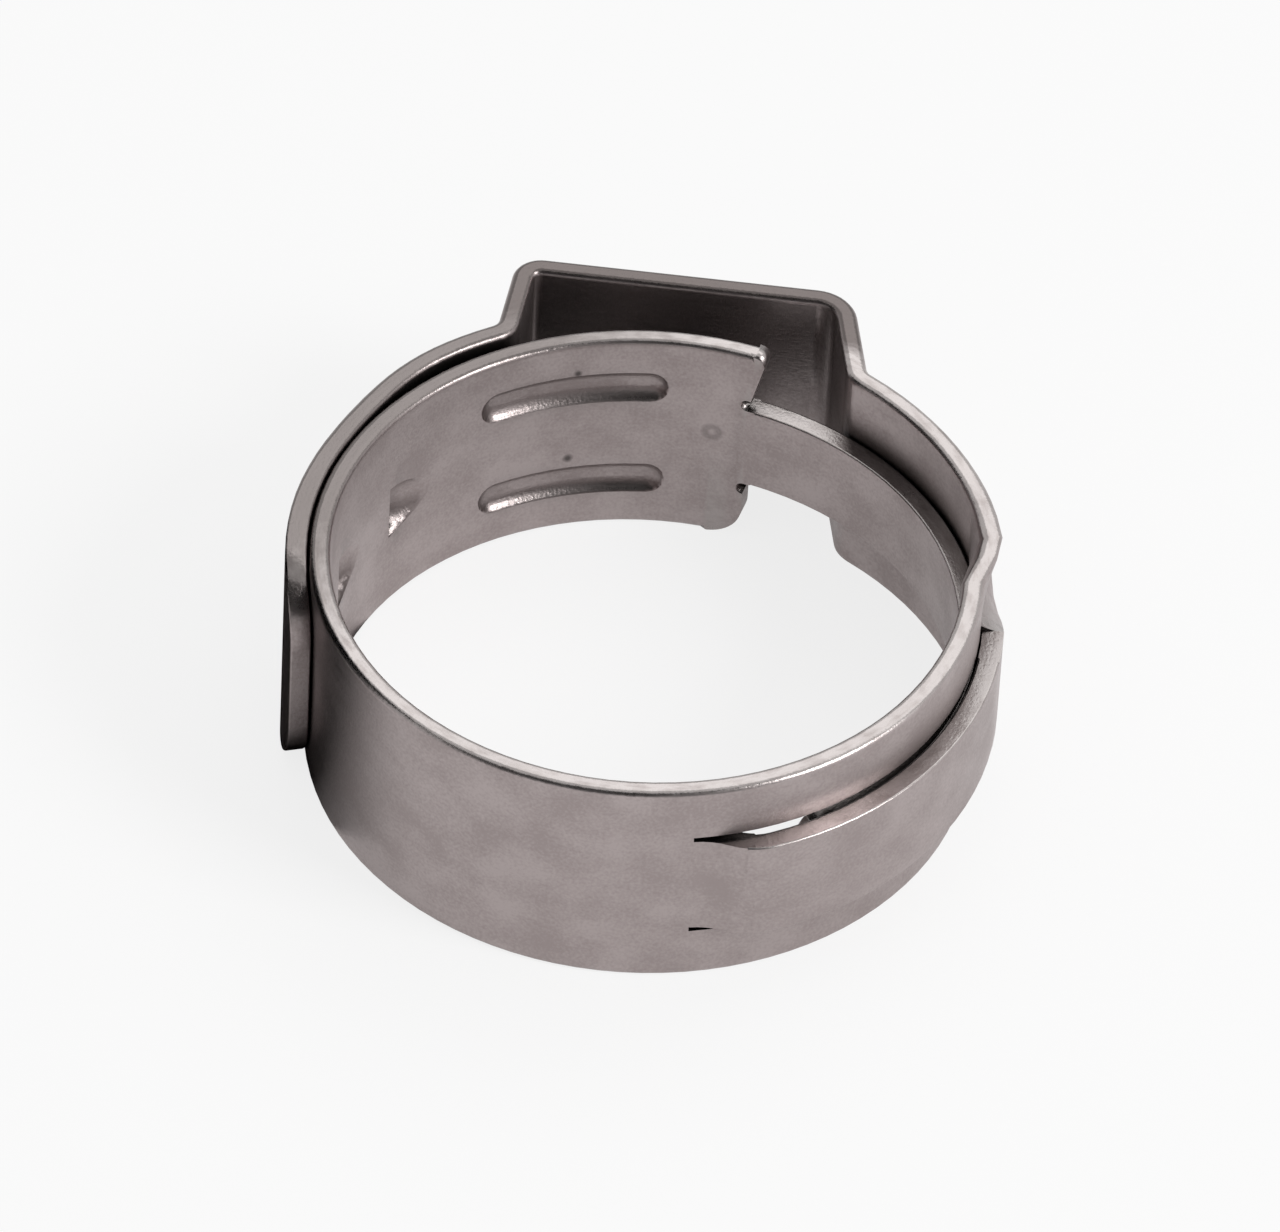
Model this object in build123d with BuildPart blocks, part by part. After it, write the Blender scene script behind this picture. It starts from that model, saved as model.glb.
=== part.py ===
"""Stepless ear hose clamp, folded from one strip of stainless steel.

The strip is followed from its inner end to its outer end, counter-clockwise seen from above.
A narrow tongue comes first, then the full-width inner layer with its beads and hooks. Two slots
free a raised channel that takes the tongue. Past the channel's mouth the strip goes on as the
outer layer, which carries the ear and ends in two windows that hang on the hooks.

Millimetres. The origin is on the bore's axis in the plane of the lower rim, +Z runs along the
axis and the ear stands on the +Y side. Angles count counter-clockwise from +X along the strip,
so the second turn goes past 360.
"""

import os
from math import asin, cos, degrees, radians, sin, sqrt, tan

from build123d import *

# The strip
strip_width = 7.0
strip_thickness = 0.6
bore_radius = 8.75
layer_gap = 0.05  # clearance between layers that lie on each other
slot_width = 0.15

# Where the strip changes, from the tongue's tip to the outer end
tongue_tip_angle = -55.0
shoulder_angle = 77.3
channel_start_angle = 285.0
channel_full_angle = 298.0
bead_rest_end_angle = 490.0
outer_contact_angle = 520.0
band_end_angle = 559.0

# Tongue and the channel that takes it
tongue_width = 2.8
tongue_tip_round = 1.0
shoulder_slant = 0.5  # how far the upper shoulder stands out past its root
lower_shoulder_round = 1.1
upper_shoulder_round = 0.3
relief_radius = 0.2
channel_width = 3.3

# Ear
ear_rise = 1.72  # how far the ear's bridge stands out beyond the outer layer
ear_half_width = 4.98  # centre line of a leg, measured at its foot
ear_near_leg_lean = 13.0  # degrees, leg on the channel's side
ear_far_leg_lean = 4.0  # degrees, leg on the hooks' side
ear_near_bend = 0.95  # bend radii on the centre line
ear_far_bend = 0.55
ear_foot_bend = 0.7

# Beads that stiffen the inner layer under the ear
bead_height = 0.3
bead_inner_radius = 0.65
bead_spacing = 3.5
bead_start_angle = 95.8
bead_end_angle = 124.7

# Sections round the channel's mouth, where the strip's sides climb from the bore to the outer
# layer: angle, lift of the rims and of the channel's feet (0 bore, 1 outer layer), ridge width
mouth_sections = [
    (363.0, 0.0, 0.0, 3.1),
    (366.0, 0.25, 0.0, 2.5),
    (370.0, 0.68, 0.05, 1.7),
    (374.0, 1.0, 0.2, 1.0),
    (378.0, 1.0, 0.75, 1.0),
    (382.0, 1.0, 0.97, 1.0),
]
mouth_hollow_width = 2.86

# Hooks and the windows that hang on them
hook_mouth_angles = [151.0, 172.5]
hook_height = 0.8
hook_length = 1.4
hook_inner_radius = 0.95
window_clearance = 0.15
window_play = 0.4
window_corner = 0.4

band_end_round = 2.0

# Worked out from the sizes above
strip_start_angle = shoulder_angle - degrees(1.5 * shoulder_slant / bore_radius)
slot_end_angle = mouth_sections[0][0]
step_end_angle = mouth_sections[-1][0]
strip_middle = strip_width / 2
inner_line = bore_radius + strip_thickness / 2
outer_face = bore_radius + strip_thickness
outer_line = inner_line + strip_thickness + layer_gap
lifted_line = outer_line + bead_height
bridge_line = outer_line + ear_rise
side_width = (strip_width - channel_width) / 2 - slot_width
hook_outer_radius = hook_inner_radius + strip_thickness
bead_outer_radius = bead_inner_radius + strip_thickness


def polar(radius, angle, height=0.0):
    """Point at a radius and an angle round the bore's axis."""
    return (radius * cos(radians(angle)), radius * sin(radians(angle)), height)


def layer_arc(radius, start_angle, end_angle):
    """Centre line of a layer that runs round the bore."""
    return CenterArc((0, 0), radius, start_angle, end_angle - start_angle)


def layer_change(start_radius, start_angle, end_radius, end_angle):
    """Two arcs, tangent to each other and to both layers, that carry the centre line across."""
    start = Vector(polar(start_radius, start_angle))
    end = Vector(polar(end_radius, end_angle))
    leaving = Vector(polar(1, start_angle + 90))
    arriving = Vector(polar(1, end_angle + 90))
    along = (end - start).dot(leaving + arriving)
    turn = 2 * (1 - leaving.dot(arriving))
    reach = (sqrt(along**2 + turn * (end - start).length ** 2) - along) / turn
    middle = (start + leaving * reach + end - arriving * reach) / 2
    first_arc = TangentArc(start, middle, tangent=leaving)
    TangentArc(middle, end, tangent=first_arc % 1)


def mouth_profile(lifts, widths):
    """Rise and height of the points up one face: rim, channel's foot and ridge, then mirrored."""
    half = [
        (lift * (outer_line - inner_line), strip_middle - width / 2)
        for lift, width in zip(lifts, widths)
    ]
    return half + [(rise, strip_width - height) for rise, height in reversed(half)]


def radial_axis(angle):
    """Direction of the strip's edges across its thickness at an angle."""
    return Axis((0, 0, 0), polar(1, angle))


def bead_bars(radius):
    """Round bars with ball ends that lie along the beads."""
    track_radius = bore_radius + bead_height - bead_inner_radius
    with BuildPart() as bars:
        for side in (-1, 1):
            height = strip_middle + side * bead_spacing / 2
            start = polar(track_radius, bead_start_angle, height)
            end = polar(track_radius, bead_end_angle, height)
            with BuildSketch(Plane(start, (0, 0, 1), polar(1, bead_start_angle + 90))):
                Circle(radius)
            revolve(axis=Axis.Z, revolution_arc=bead_end_angle - bead_start_angle)
            with Locations(start, end):
                Sphere(radius)
    return bars.part


def hook_bars(radius):
    """Round bars that slope from each hook's mouth down into the strip."""
    axis_radius = outer_face + hook_height - hook_outer_radius
    with BuildPart() as bars:
        for angle in hook_mouth_angles:
            mouth = polar(axis_radius, angle, strip_middle)
            towards_ear = Vector(polar(-1, angle + 90))
            with BuildSketch(Plane(mouth, (0, 0, 1), towards_ear)):
                Circle(radius)
            slope = towards_ear * hook_length - Vector(polar(hook_height, angle))
            extrude(amount=1.5 * hook_length, dir=slope)
    return bars.part


# Feet and corners of the ear's centre line
near_foot = Vector(ear_half_width, sqrt(outer_line**2 - ear_half_width**2))
far_foot = Vector(-ear_half_width, sqrt(lifted_line**2 - ear_half_width**2))
near_top = Vector(
    near_foot.X - (bridge_line - near_foot.Y) * tan(radians(ear_near_leg_lean)), bridge_line
)
far_top = Vector(
    far_foot.X + (bridge_line - far_foot.Y) * tan(radians(ear_far_leg_lean)), bridge_line
)
near_foot_angle = degrees(asin(near_foot.Y / outer_line))
far_foot_angle = 180 - degrees(asin(far_foot.Y / lifted_line))

# Beads and hooks are pressed out of the inner layer: what stands out, and what is hollow behind
raised_beads = bead_bars(bead_outer_radius)
hollow_beads = bead_bars(bead_inner_radius)
raised_hooks = hook_bars(hook_outer_radius)
hollow_hooks = hook_bars(hook_inner_radius)

with BuildPart() as raised_forms:
    add(raised_beads)
    add(raised_hooks)
    Cylinder(
        inner_line,
        strip_width,
        align=(Align.CENTER, Align.CENTER, Align.MIN),
        mode=Mode.SUBTRACT,
    )

with BuildPart() as clamp_band:
    # Full width: the inner layer, and the outer layer with the ear
    with BuildSketch():
        with BuildLine():
            layer_arc(inner_line, strip_start_angle, channel_start_angle)
        trace(line_width=strip_thickness)
        with BuildLine() as outer_route:
            layer_arc(outer_line, step_end_angle - 360, near_foot_angle)
            Polyline(near_foot, near_top, far_top, far_foot)
            layer_arc(lifted_line, far_foot_angle, bead_rest_end_angle - 360)
            layer_change(
                lifted_line, bead_rest_end_angle - 360, outer_line, outer_contact_angle - 360
            )
            layer_arc(outer_line, outer_contact_angle - 360, band_end_angle - 360)
            for corner, bend in (
                (near_foot, ear_foot_bend),
                (near_top, ear_near_bend),
                (far_top, ear_far_bend),
                (far_foot, ear_foot_bend),
            ):
                fillet(outer_route.vertices().sort_by_distance(corner)[0], bend)
        trace(line_width=strip_thickness)
    extrude(amount=strip_width)
    fillet(clamp_band.edges().filter_by(radial_axis(band_end_angle)), band_end_round)

    # The strip's two sides stay on the bore beside the channel
    for side_bottom in (0, strip_width - side_width):
        with BuildSketch(Plane.XY.offset(side_bottom)):
            with BuildLine():
                layer_arc(inner_line, channel_start_angle, slot_end_angle)
            trace(line_width=strip_thickness)
        extrude(amount=side_width)

    # Channel, pressed out between the slots
    with BuildSketch(Plane.XY.offset(strip_middle - channel_width / 2)):
        with BuildLine():
            layer_change(inner_line, channel_start_angle, outer_line, channel_full_angle)
            layer_arc(outer_line, channel_full_angle, slot_end_angle)
        trace(line_width=strip_thickness)
    extrude(amount=channel_width)

    # The channel's mouth, where the sides climb to the outer layer round its ridge
    for angle, rim_lift, foot_lift, ridge_width in mouth_sections:
        lifts = (rim_lift, foot_lift, 1)
        outside = mouth_profile(lifts, (strip_width, strip_width - 2 * side_width, ridge_width))
        inside = mouth_profile(lifts, (strip_width, channel_width, mouth_hollow_width))
        outline = [(outer_face + rise, height) for rise, height in outside]
        outline += [(bore_radius + rise, height) for rise, height in reversed(inside)]
        with BuildSketch(Plane((0, 0, 0), polar(1, angle), polar(1, angle - 90))):
            with BuildLine():
                Polyline(*outline, close=True)
            make_face()
    loft(ruled=True)

    # Shoulders, cut back to the tongue with a small relief at each root
    shoulder_plane = Plane(
        polar(outer_face + layer_gap / 2, shoulder_angle, strip_middle),
        polar(1, shoulder_angle + 90),
        polar(1, shoulder_angle),
    )
    with BuildSketch(shoulder_plane):
        for side, slant in ((1, shoulder_slant), (-1, 0)):
            with BuildLine():
                Polyline(
                    (0, side * tongue_width / 2),
                    (-slant, side * strip_width / 2),
                    (-2 * shoulder_slant, side * strip_width / 2),
                    (-2 * shoulder_slant, side * tongue_width / 2),
                    close=True,
                )
            make_face()
            with Locations((0, side * (tongue_width / 2 + relief_radius))):
                Circle(relief_radius)
    extrude(amount=-1.5 * strip_thickness, mode=Mode.SUBTRACT)
    shoulder_corners = clamp_band.edges().filter_by(radial_axis(shoulder_angle)).sort_by(Axis.Z)
    fillet(shoulder_corners[0], lower_shoulder_round)
    fillet(shoulder_corners[-1], upper_shoulder_round)

    # Tongue, which bridges the gap under the ear and slides in the channel
    with BuildSketch(Plane.XY.offset(strip_middle - tongue_width / 2)):
        with BuildLine():
            layer_arc(inner_line, tongue_tip_angle, strip_start_angle)
        trace(line_width=strip_thickness)
    extrude(amount=tongue_width)
    fillet(clamp_band.edges().filter_by(radial_axis(tongue_tip_angle)), tongue_tip_round)

    # Windows, cut in the outer layer only
    window_length = hook_length + window_clearance + window_play
    for mouth_angle in hook_mouth_angles:
        window_plane = Plane(
            polar(outer_face + layer_gap / 2, mouth_angle, strip_middle),
            polar(1, mouth_angle + 90),
            polar(1, mouth_angle),
        )
        with BuildSketch(window_plane):
            with Locations((window_clearance - window_length / 2, 0)):
                RectangleRounded(
                    window_length, 2 * (hook_outer_radius - window_clearance), window_corner
                )
        extrude(amount=strip_thickness + bead_height, mode=Mode.SUBTRACT)

    add(raised_forms.part)
    add(hollow_beads, mode=Mode.SUBTRACT)
    add(hollow_hooks, mode=Mode.SUBTRACT)

clamp_band.part.label = "clamp_band"
os.makedirs("parts", exist_ok=True)
export_step(clamp_band.part, "parts/clamp_band.step")
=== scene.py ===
"""Looks of the stepless ear hose clamp: satin stainless strip, pale floor, soft studio light."""

from math import atan2, cos, degrees, radians, sin, tan

import bmesh
import bpy
from mathutils import Matrix, Vector

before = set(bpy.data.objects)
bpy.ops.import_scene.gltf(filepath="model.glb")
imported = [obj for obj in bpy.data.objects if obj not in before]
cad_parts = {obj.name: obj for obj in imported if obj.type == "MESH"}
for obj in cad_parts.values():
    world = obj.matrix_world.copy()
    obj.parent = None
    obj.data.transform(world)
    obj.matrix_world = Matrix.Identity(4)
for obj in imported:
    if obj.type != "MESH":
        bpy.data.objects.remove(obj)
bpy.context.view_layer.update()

MM = 0.001

# Camera, worked out from the photograph's own perspective. Angles are in degrees.
PHOTO_WIDTH = 1280
CAMERA_ELEVATION = 44.46
CAMERA_AZIMUTH = -4.5  # round the bore's axis, from looking along +Y
CAMERA_DISTANCE = 350.06 * MM
CAMERA_TILT = 0.556
CAMERA_PAN = -0.017
CAMERA_ROLL = 3.215
FOCAL_PIXELS = 12494.9
SENSOR_WIDTH = 36.0

# Forms of the strip that the wear and the material follow
STRIP_WIDTH = 7 * MM
STRIP_RADIUS = 9.05 * MM
INNER_LAYER_RADIUS = 9.37 * MM  # the outer layer and the channel are beyond it
TONGUE_HALF_WIDTH = 1.45 * MM
CHANNEL_HALF_WIDTH = 1.8 * MM
TONGUE_ANGLES = (307, 76)
CHANNEL_ANGLES = (293, 356)
OUTER_END_ANGLE = 199
EAR_START = 9.7 * MM
MOUTH_PLACE = (9.45 * MM, 1.9 * MM, 0)
MOUTH_REACH = 2.3 * MM
WALL_MATCH = (0.97, 0.99)  # how nearly radial a facet is, from not a wall to wholly a wall
EAR_BLEND = 0.2 * MM  # the wall's normal gives way over this much at the ear
MOUTH_BLEND = 0.5 * MM  # and over this much round the channel's mouth

# Rounding of the sheared edges, which are tumbled
EDGE_ROUND = 0.19 * MM
EDGE_SEGMENTS = 4
SMALL_WEAR = 0.35  # share of that round on the edges inside the strip and at its end
SHARP_ANGLE = 40
END_REACH = 24  # degrees either side of the outer end
RIM_FADE = (18, 48)  # degrees from the outer end over which the rims' round grows to the full
SAME_PLACE = 0.0005 * MM  # within which corners are joined
PLACE_STEP = 0.001 * MM  # to which places are compared

# Steel colours
FACE_COLOUR = (0.46, 0.40, 0.395)
FACE_STAIN = (0.38, 0.325, 0.32)
EDGE_COLOUR = (0.46, 0.425, 0.415)
EDGE_STAIN = (0.36, 0.325, 0.315)
# Painted shade: the edges darken to this towards the left and back
EDGE_PAINTED_SHADE = (0.2, 0.178, 0.172)
# Painted shade: the ear's top edges darken to this
EAR_TOP_PAINTED_SHADE = (0.15, 0.13, 0.125)
# Painted shade: ambient occlusion darkens seams, creases and the ear's inside to this colour, which
# the small marks also use
MARK_AND_PAINTED_SHADE_COLOUR = (0.03, 0.027, 0.025)
PAINTED_SHADE_REACH = 2.5 * MM
PAINTED_SHADE_OPENNESS = (0.15, 0.85)  # from full painted shade to none
EDGE_UPWARD = (0.35, 0.9)  # upward share of the normal, from a plain face to a worn edge
EDGE_SCUFFS = (0.45, 0.7)
SCUFF_RAGGEDNESS = 3.0  # how far the scuffs push the painted shade's limit, in millimetres
PAINTED_SHADE_BACK = 0.6  # how much the back counts towards the painted shade, where the left counts 1
PAINTED_SHADE_SPREAD = (6.0, 10.5)  # millimetres towards the left and back
EAR_PAINTED_SHADE_RADII = (10.6, 11.2)  # millimetres from the bore's axis, scuffs included

# Steel texture: waves a millimetre along, through and across the strip
CLOUD_WAVES = (0.55, 0.55, 0.7)
GRAIN_WAVES = (11.0, 11.0, 11.0)
ROLLING_WAVES = (0.5, 9.0, 9.0)
SCUFF_WAVES = (1.6, 4.0, 5.0)
FACE_CLOUDS = (0.4, 0.6)
CLOUD_SHARE = 0.6  # of the stain, the rest being grain
STAIN_SHARE = 0.7  # of the roughness, the rest being rolling lines
ROLLING_SHARE = 0.35  # of the bump, the rest being grain
MATT_RANGE = (0.35, 0.65)
FACE_ROUGHNESS = (0.33, 0.47)
EDGE_SHINE = 0.6  # the edges' roughness as a share of the faces'
BUMP_STRENGTH = 0.5
BUMP_HEIGHT = 0.02 * MM
MARK_DARKNESS = 0.75
MARKS = (  # centre, radius, half width and strength of each small mark
    ((-2.88 * MM, 8.26 * MM, 5.9 * MM), 0, 0.15 * MM, 1.0),
    ((-3.06 * MM, 8.2 * MM, 2.66 * MM), 0, 0.18 * MM, 1.0),
    ((0.96 * MM, 8.7 * MM, 3.82 * MM), 0.2 * MM, 0.16 * MM, 0.4),
)

# Studio
FLOOR_SIZE = 3000 * MM
FLOOR_COLOUR = (0.9, 0.9, 0.9, 1)
FLOOR_WHITE = 0.8  # share of plain white that the camera sees in the floor
FLOOR_MIRRORED = 0.45  # the same for reflections
WORLD_FILL = 0.6
SOFTBOXES = (  # name, azimuth, elevation, distance, width, height and watts
    ("back_softbox", 20, 50, 420 * MM, 420 * MM, 240 * MM, 0.3),
    ("key_softbox", 110, 38, 420 * MM, 150 * MM, 150 * MM, 0.85),
)


def add_camera():
    """Camera that looks at the origin, then pans, tilts and rolls a little."""
    elevation = radians(CAMERA_ELEVATION)
    place = Matrix.Rotation(radians(-CAMERA_AZIMUTH), 3, "Z") @ Vector(
        (0, -CAMERA_DISTANCE * cos(elevation), CAMERA_DISTANCE * sin(elevation))
    )
    forward = -place.normalized()
    right = forward.cross(Vector((0, 0, 1))).normalized()
    up = right.cross(forward)
    forward += right * tan(radians(CAMERA_PAN)) + up * tan(radians(CAMERA_TILT))
    forward.normalize()
    right = forward.cross(up).normalized()
    up = right.cross(forward)
    turn = Matrix((right, up, -forward)).transposed() @ Matrix.Rotation(
        radians(CAMERA_ROLL), 3, "Z"
    )
    data = bpy.data.cameras.new("camera")
    data.sensor_fit = "HORIZONTAL"
    data.sensor_width = SENSOR_WIDTH
    data.lens = FOCAL_PIXELS / PHOTO_WIDTH * SENSOR_WIDTH
    data.clip_start = 0.01
    camera = bpy.data.objects.new("camera", data)
    camera.matrix_world = Matrix.Translation(place) @ turn.to_4x4()
    bpy.context.scene.collection.objects.link(camera)
    bpy.context.scene.camera = camera


class Nodes:
    """Short way to add nodes to a tree: values and links both go in by socket."""

    def __init__(self, tree):
        self.tree = tree
        tree.nodes.clear()

    def add(self, kind, inputs=None, **settings):
        node = self.tree.nodes.new(kind)
        for name, value in settings.items():
            setattr(node, name, value)
        for name, value in (inputs or {}).items():
            self.feed(node.inputs[name], value)
        return node

    def feed(self, socket, value):
        """Links an output to a socket, or sets the socket to a plain value."""
        if isinstance(value, bpy.types.NodeSocket):
            self.tree.links.new(value, socket)
        else:
            socket.default_value = value

    def coordinate(self, name):
        return self.add("ShaderNodeTexCoord").outputs[name]

    def parts(self, vector):
        return self.add("ShaderNodeSeparateXYZ", {0: vector}).outputs[:3]

    def math(self, operation, first, second=0.0):
        node = self.add("ShaderNodeMath", {0: first, 1: second}, operation=operation)
        return node.outputs[0]

    def vector(self, operation, **inputs):
        """Vector arithmetic; first and second go to its first two sockets, and scale to its own."""
        sockets = {"first": 0, "second": 1, "scale": "Scale"}
        fed = {sockets[name]: value for name, value in inputs.items()}
        return self.add("ShaderNodeVectorMath", fed, operation=operation).outputs

    def weighted(self, first, second, share):
        """So much of the first value, and the rest of the second."""
        part = self.math("MULTIPLY", first, share)
        return self.math("ADD", part, self.math("MULTIPLY", second, 1 - share))

    def spread(self, value, low, high, out_low=0.0, out_high=1.0):
        """Stretches a value from one range to another."""
        ends = {"From Min": low, "From Max": high, "To Min": out_low, "To Max": out_high}
        return self.add("ShaderNodeMapRange", {"Value": value, **ends}).outputs[0]

    def noise(self, place, waves, detail):
        spot = self.vector("MULTIPLY", first=place, second=waves)[0]
        node = self.add("ShaderNodeTexNoise", {"Vector": spot, "Scale": 1.0, "Detail": detail})
        return node.outputs["Fac"]

    def colour_mix(self, factor, first, second):
        node = self.add("ShaderNodeMix", {"Factor": factor}, data_type="RGBA")
        for socket, value in (node.inputs[6], first), (node.inputs[7], second):
            self.feed(socket, (*value, 1) if isinstance(value, tuple) else value)
        return node.outputs[2]


def node_material(name):
    """New material, with the helper for its empty node tree."""
    material = bpy.data.materials.new(name)
    material.use_nodes = True
    return material, Nodes(material.node_tree)


def strip_place(nodes):
    """Place on the strip in millimetres: along it, through it and across it."""
    x, y, z = nodes.parts(nodes.coordinate("Object"))
    along = nodes.math("MULTIPLY", nodes.math("ARCTAN2", y, x), STRIP_RADIUS / MM)
    flat = nodes.add("ShaderNodeCombineXYZ", {0: x, 1: y}).outputs[0]
    radius = nodes.vector("LENGTH", first=flat)["Value"]
    through = nodes.math("DIVIDE", radius, MM)
    across = nodes.math("DIVIDE", z, MM)
    return nodes.add("ShaderNodeCombineXYZ", {0: along, 1: through, 2: across}).outputs[0]


def wall_normal(nodes):
    """Normal that runs round the bore on the strip's walls, free of the mesh's long facets."""
    geometry = nodes.add("ShaderNodeNewGeometry").outputs
    place = nodes.coordinate("Object")
    flat = nodes.vector("MULTIPLY", first=place, second=(1, 1, 0))[0]
    radial = nodes.vector("NORMALIZE", first=flat)[0]
    turn = nodes.vector("DOT_PRODUCT", first=geometry["True Normal"], second=radial)["Value"]
    on_wall = nodes.spread(nodes.math("ABSOLUTE", turn), *WALL_MATCH)
    outward = nodes.parts(place)[1]
    off_ear = nodes.spread(outward, EAR_START, EAR_START + EAR_BLEND, 1.0, 0.0)
    from_mouth = nodes.vector("DISTANCE", first=flat, second=MOUTH_PLACE)["Value"]
    off_mouth = nodes.spread(from_mouth, MOUTH_REACH, MOUTH_REACH + MOUTH_BLEND)
    share = nodes.math("MULTIPLY", nodes.math("MULTIPLY", on_wall, off_ear), off_mouth)
    facing = nodes.vector("SCALE", first=radial, scale=nodes.math("SIGN", turn))[0]
    mixed = nodes.add(
        "ShaderNodeMix", {"Factor": share, 4: geometry["Normal"], 5: facing}, data_type="VECTOR"
    )
    return nodes.vector("NORMALIZE", first=mixed.outputs[1])[0]


def mark_mask(nodes):
    """Small marks inside the band: two pits by the beads and a faint ring at the tongue's root."""
    place = nodes.coordinate("Object")
    total = 0.0
    for centre, radius, width, strength in MARKS:
        away = nodes.vector("DISTANCE", first=place, second=centre)["Value"]
        off_ring = nodes.math("ABSOLUTE", nodes.math("SUBTRACT", away, radius))
        mark = nodes.spread(off_ring, width, width * 0.3, 0.0, strength)
        total = nodes.math("MAXIMUM", mark, total)
    return total


def edge_colour(nodes, place, scuffs):
    """Scuffed edges, with painted shade that darkens them towards the left and back, and most on
    the ear's top.
    """
    worn = nodes.colour_mix(nodes.spread(scuffs, *EDGE_SCUFFS), EDGE_COLOUR, EDGE_STAIN)
    x, y, _ = nodes.parts(nodes.coordinate("Object"))
    # Painted shade: edges darker towards the left and back
    behind = nodes.math("SUBTRACT", nodes.math("MULTIPLY", y, PAINTED_SHADE_BACK), x)
    behind = nodes.math("DIVIDE", behind, MM)
    ragged = nodes.math("ADD", behind, nodes.math("MULTIPLY", scuffs, SCUFF_RAGGEDNESS))
    worn = nodes.colour_mix(nodes.spread(ragged, *PAINTED_SHADE_SPREAD), worn, EDGE_PAINTED_SHADE)
    # Painted shade: the ear's top edges darkest
    radius = nodes.parts(place)[1]
    ear_painted_shade = nodes.spread(nodes.math("ADD", radius, scuffs), *EAR_PAINTED_SHADE_RADII)
    return nodes.colour_mix(ear_painted_shade, worn, EAR_TOP_PAINTED_SHADE)


def steel_material():
    """Satin stainless strip: cloudy faces with fine grain, scuffed edges, marks, and painted shade
    in the seams, creases and the ear.
    """
    material, nodes = node_material("stainless_steel")
    place = strip_place(nodes)
    cloud = nodes.noise(place, CLOUD_WAVES, 4.0)
    grain = nodes.noise(place, GRAIN_WAVES, 2.0)
    rolling = nodes.noise(place, ROLLING_WAVES, 3.0)
    scuffs = nodes.noise(place, SCUFF_WAVES, 4.0)
    stain = nodes.weighted(cloud, grain, CLOUD_SHARE)
    marks = mark_mask(nodes)
    upward = nodes.parts(nodes.coordinate("Normal"))[2]
    on_edge = nodes.spread(nodes.math("ABSOLUTE", upward), *EDGE_UPWARD)

    face = nodes.colour_mix(nodes.spread(stain, *FACE_CLOUDS), FACE_COLOUR, FACE_STAIN)
    colour = nodes.colour_mix(on_edge, face, edge_colour(nodes, place, scuffs))
    darkness = nodes.math("MULTIPLY", marks, MARK_DARKNESS)
    colour = nodes.colour_mix(darkness, colour, MARK_AND_PAINTED_SHADE_COLOUR)
    # Painted shade: darker where ambient occlusion finds seams, creases and the ear's inside
    occlusion_probe = nodes.add(
        "ShaderNodeAmbientOcclusion", {"Distance": PAINTED_SHADE_REACH}, samples=4, only_local=True
    )
    unshaded = nodes.spread(occlusion_probe.outputs["AO"], *PAINTED_SHADE_OPENNESS)
    colour = nodes.colour_mix(unshaded, MARK_AND_PAINTED_SHADE_COLOUR, colour)

    matt = nodes.weighted(stain, rolling, STAIN_SHARE)
    matt = nodes.spread(matt, *MATT_RANGE, *FACE_ROUGHNESS)
    shine = nodes.spread(on_edge, 0.0, 1.0, 1.0, EDGE_SHINE)
    ridges = nodes.math("SUBTRACT", nodes.weighted(rolling, grain, ROLLING_SHARE), marks)
    relief = {"Height": ridges, "Strength": BUMP_STRENGTH, "Distance": BUMP_HEIGHT}
    bump = nodes.add("ShaderNodeBump", {**relief, "Normal": wall_normal(nodes)})
    shader = nodes.add(
        "ShaderNodeBsdfPrincipled",
        {
            "Base Color": colour,
            "Metallic": 1.0,
            "Roughness": nodes.math("MULTIPLY", matt, shine),
            "Normal": bump.outputs[0],
        },
    )
    nodes.add("ShaderNodeOutputMaterial", {"Surface": shader.outputs[0]})
    return material


def seen_rays(nodes):
    """1 for the rays by which the camera, metal or glass sees a surface, otherwise 0."""
    rays = nodes.add("ShaderNodeLightPath").outputs
    seen = nodes.math("MAXIMUM", rays["Is Camera Ray"], rays["Is Glossy Ray"])
    return nodes.math("MAXIMUM", seen, rays["Is Transmission Ray"])


def add_floor():
    """Pale floor that shows nearly white and keeps a soft shadow of the object."""
    bpy.ops.mesh.primitive_plane_add(size=FLOOR_SIZE)
    floor = bpy.context.object
    floor.name = "floor"
    material, nodes = node_material("floor")
    matt = nodes.add("ShaderNodeBsdfDiffuse", {"Color": FLOOR_COLOUR})
    white = nodes.add("ShaderNodeEmission", {"Strength": 1.0})
    rays = nodes.add("ShaderNodeLightPath").outputs
    seen = nodes.math("MULTIPLY", rays["Is Camera Ray"], FLOOR_WHITE - FLOOR_MIRRORED)
    mirrored = nodes.math("MULTIPLY", seen_rays(nodes), FLOOR_MIRRORED)
    share = nodes.math("ADD", seen, mirrored)
    mixed = nodes.add("ShaderNodeMixShader", {0: share, 1: matt.outputs[0], 2: white.outputs[0]})
    nodes.add("ShaderNodeOutputMaterial", {"Surface": mixed.outputs[0]})
    floor.data.materials.append(material)


def add_world():
    """Even pale surroundings, white where the camera or a reflection sees them."""
    world = bpy.data.worlds.new("world")
    bpy.context.scene.world = world
    world.use_nodes = True
    nodes = Nodes(world.node_tree)
    strength = nodes.spread(seen_rays(nodes), 0.0, 1.0, WORLD_FILL, 1.0)
    background = nodes.add("ShaderNodeBackground", {"Strength": strength})
    nodes.add("ShaderNodeOutputWorld", {"Surface": background.outputs[0]})


def aimed(azimuth, elevation, distance):
    """Placement at a direction from the object, facing it. Azimuth runs from +Y towards +X."""
    turn, rise = radians(azimuth), radians(elevation)
    place = distance * Vector((sin(turn) * cos(rise), cos(turn) * cos(rise), sin(rise)))
    return Matrix.Translation(place) @ place.to_track_quat("Z", "Y").to_matrix().to_4x4()


def add_softbox(name, azimuth, elevation, distance, width, height, power):
    """Area lamp that faces the object."""
    data = bpy.data.lights.new(name, "AREA")
    data.shape = "RECTANGLE"
    data.size, data.size_y = width, height
    data.energy = power
    lamp = bpy.data.objects.new(name, data)
    lamp.matrix_world = aimed(azimuth, elevation, distance)
    bpy.context.scene.collection.objects.link(lamp)


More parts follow.
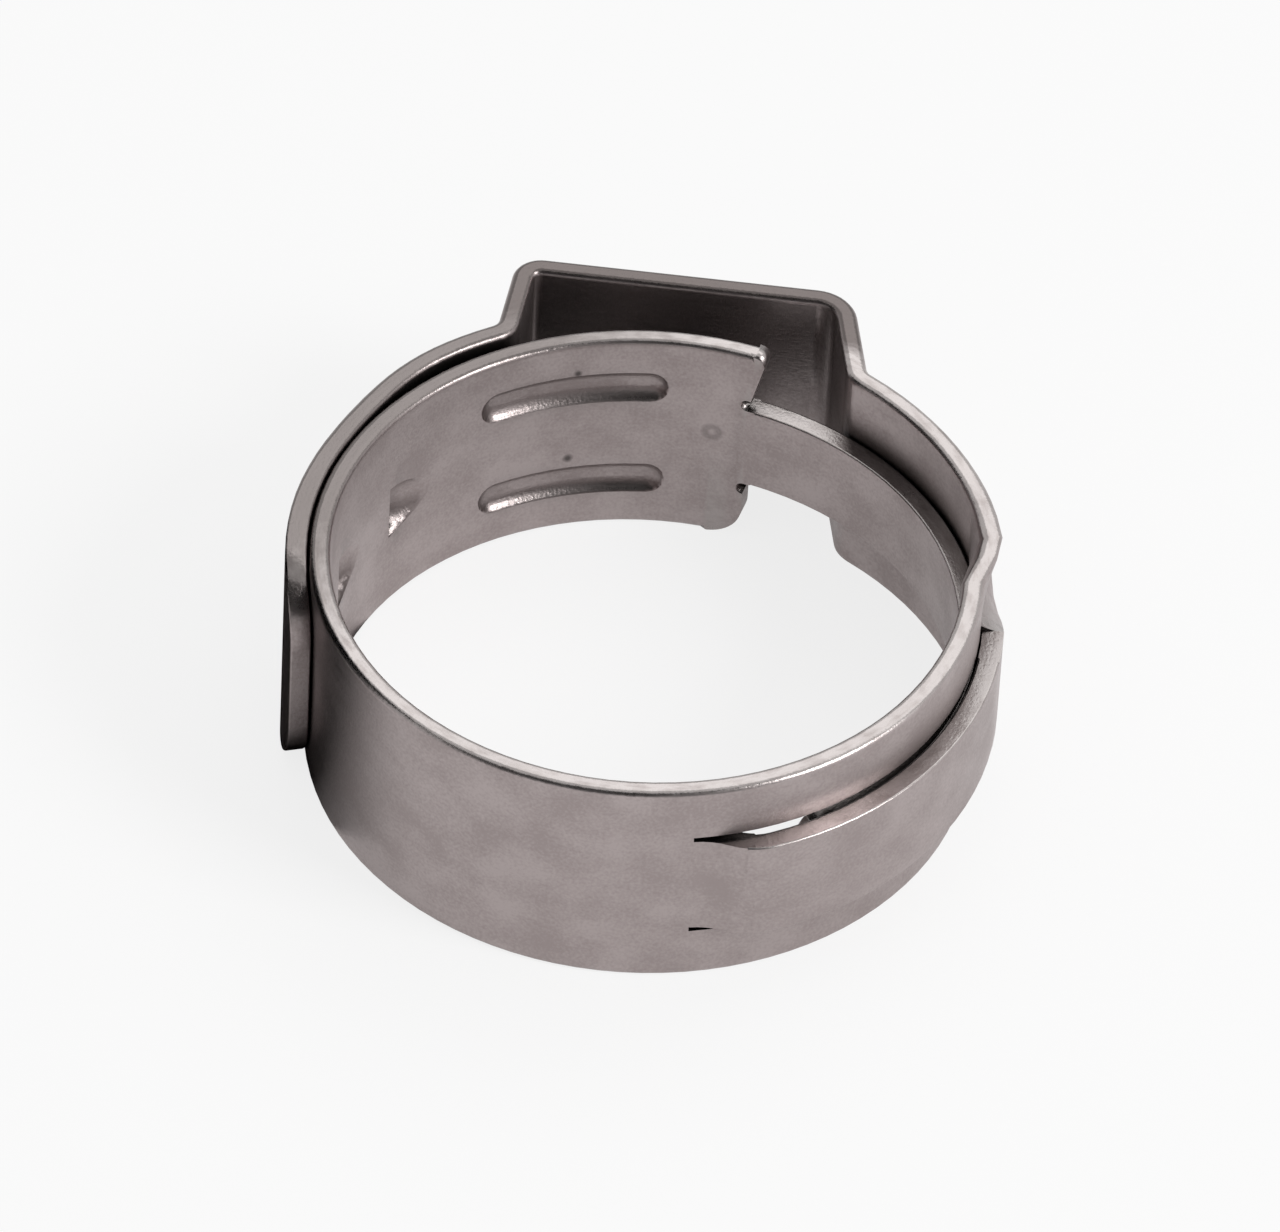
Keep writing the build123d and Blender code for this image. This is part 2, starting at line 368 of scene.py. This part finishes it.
def add_card(name, place, width, height, tone, fade=0.01):
    """Card of an even tone that only reflections see.

    It fades out at its lower edge, over that share of its height.
    """
    bpy.ops.mesh.primitive_plane_add(size=1)
    card = bpy.context.object
    card.name = name
    card.matrix_world = place @ Matrix.Diagonal((width, height, 1, 1))
    material, nodes = node_material(name)
    shade = nodes.add("ShaderNodeEmission", {"Color": (tone, tone, tone, 1), "Strength": 1.0})
    height_share = nodes.parts(nodes.coordinate("Generated"))[1]
    clear = nodes.add("ShaderNodeBsdfTransparent")
    solid = nodes.spread(height_share, 0.0, fade)
    faded = nodes.add("ShaderNodeMixShader", {0: solid, 1: clear.outputs[0], 2: shade.outputs[0]})
    nodes.add("ShaderNodeOutputMaterial", {"Surface": faded.outputs[0]})
    card.data.materials.append(material)
    card.visible_camera = False
    card.visible_diffuse = False
    card.visible_shadow = False


def wear_of_edge(first, second):
    """How round an edge is worn: fully on the rims, less on the tongue, channel and outer end."""
    ends = (first, second)
    at_rim = all(min(point.z, STRIP_WIDTH - point.z) < PLACE_STEP for point in ends)
    middle = (first + second) / 2
    angle = degrees(atan2(middle.y, middle.x)) % 360
    off_centre = abs(middle.z - STRIP_WIDTH / 2)
    inner_layer = middle.xy.length < INNER_LAYER_RADIUS
    from_end = 360.0 if inner_layer else abs(angle - OUTER_END_ANGLE)
    if at_rim:
        near, far = RIM_FADE
        share = min(max((from_end - near) / (far - near), 0), 1)
        return SMALL_WEAR + (1 - SMALL_WEAR) * share
    along_tongue = angle > TONGUE_ANGLES[0] or angle < TONGUE_ANGLES[1]
    along_channel = CHANNEL_ANGLES[0] < angle < CHANNEL_ANGLES[1]
    tongue = inner_layer and off_centre < TONGUE_HALF_WIDTH and along_tongue
    channel = not inner_layer and off_centre < CHANNEL_HALF_WIDTH and along_channel
    return SMALL_WEAR if tongue or channel or from_end < END_REACH else 0.0


def edge_key(first, second):
    """The same for every copy of an edge, whichever way it runs."""
    ends = (first, second)
    return frozenset(tuple(round(value / PLACE_STEP) for value in end) for end in ends)


def mark_worn_edges(mesh):
    """Gives each sharp edge the weight that the bevel reads."""
    joined = bmesh.new()
    joined.from_mesh(mesh)
    bmesh.ops.remove_doubles(joined, verts=joined.verts, dist=SAME_PLACE)
    wear = {}
    for edge in joined.edges:
        first, second = (vertex.co for vertex in edge.verts)
        if edge.calc_face_angle(0) > radians(SHARP_ANGLE):
            wear[edge_key(first, second)] = wear_of_edge(first, second)
    joined.free()
    weight = mesh.attributes.new("bevel_weight_edge", "FLOAT", "EDGE")
    for edge in mesh.edges:
        first, second = (mesh.vertices[index].co for index in edge.vertices)
        weight.data[edge.index].value = wear.get(edge_key(first, second), 0.0)


def round_edges(piece):
    """Joins the mesh's faces along their seams, and rounds the worn edges."""
    mark_worn_edges(piece.data)
    weld = piece.modifiers.new("weld", "WELD")
    weld.merge_threshold = SAME_PLACE
    bevel = piece.modifiers.new("round", "BEVEL")
    bevel.limit_method = "WEIGHT"
    bevel.width = EDGE_ROUND
    bevel.segments = EDGE_SEGMENTS
    bevel.use_clamp_overlap = False
    bevel.harden_normals = True


bpy.context.scene.view_settings.view_transform = "Standard"
add_camera()
add_floor()
add_world()
for softbox in SOFTBOXES:
    add_softbox(*softbox)

# The front card darkens the lines beside the rims, and the other two darken the left side
add_card("front_flag", aimed(180, 45, 600 * MM), 1300 * MM, 700 * MM, 0.05)
left_floor = Matrix.Translation((-16.5 * MM, 4 * MM, 0.02 * MM))
add_card("left_flag", left_floor, 17 * MM, 24 * MM, 0.0, fade=0.2)
upright = Matrix.Rotation(radians(90), 4, "Y")
left_wall = Matrix.Translation((-26 * MM, 3 * MM, 20 * MM)) @ upright
add_card("left_wall_flag", left_wall, 40 * MM, 26 * MM, 0.0)

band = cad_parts["clamp_band"]
band.data.materials.clear()
band.data.materials.append(steel_material())
round_edges(band)
